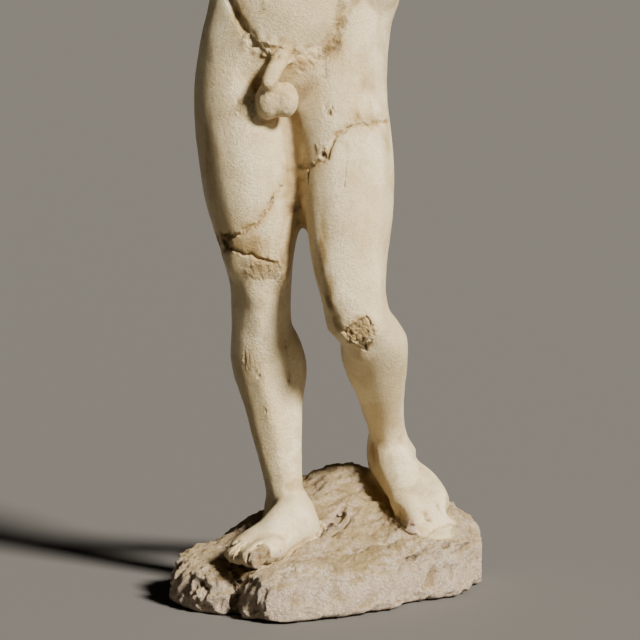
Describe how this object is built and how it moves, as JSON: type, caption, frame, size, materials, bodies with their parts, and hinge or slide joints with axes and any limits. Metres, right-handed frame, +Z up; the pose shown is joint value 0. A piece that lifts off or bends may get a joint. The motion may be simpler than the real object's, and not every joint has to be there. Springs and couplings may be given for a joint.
{
  "type": "god statue",
  "caption": "Weathered cast-stone statue of a nude classical god with broken arms, standing at ease on a rough rock plinth.",
  "frame": {"origin": "middle of the plinth's flat underside, on the floor", "axes": "+Z up, +X to the viewer's right, the figure faces -Y"},
  "size_m": [0.3156, 0.2938, 1.0272],
  "materials": {
    "cast_stone": "matt ivory cast stone with ochre patina in the hollows, fine grain, hairline cracks and rough chips"
  },
  "bodies": {
    "root": {"god_statue": "cast_stone"}
  },
  "joints": []
}
